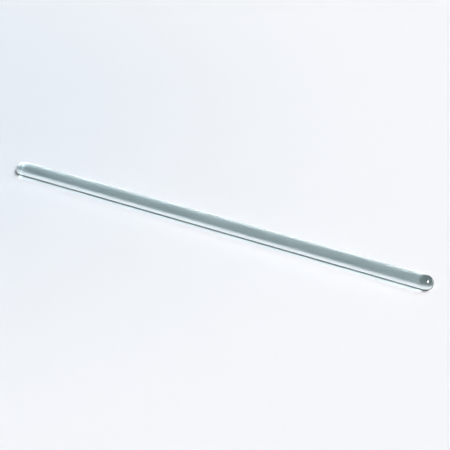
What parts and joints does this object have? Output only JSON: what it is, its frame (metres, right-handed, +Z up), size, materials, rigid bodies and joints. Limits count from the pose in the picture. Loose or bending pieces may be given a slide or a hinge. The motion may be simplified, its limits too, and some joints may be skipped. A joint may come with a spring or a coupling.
{
  "type": "glass stirring rod",
  "caption": "Straight solid glass rod with both ends fire-polished to a full dome, for stirring liquids by hand and for guiding them while pouring.",
  "frame": {"origin": "on the rod's axis, at the middle of its length", "axes": "+X along the rod's axis, +Z up as it lies, +Y across the rod"},
  "size_m": [0.15, 0.005, 0.005],
  "materials": {
    "clear_glass": "clear, fire-polished, with a faint green cast"
  },
  "bodies": {
    "root": {"glass_rod": "clear_glass"}
  },
  "joints": []
}
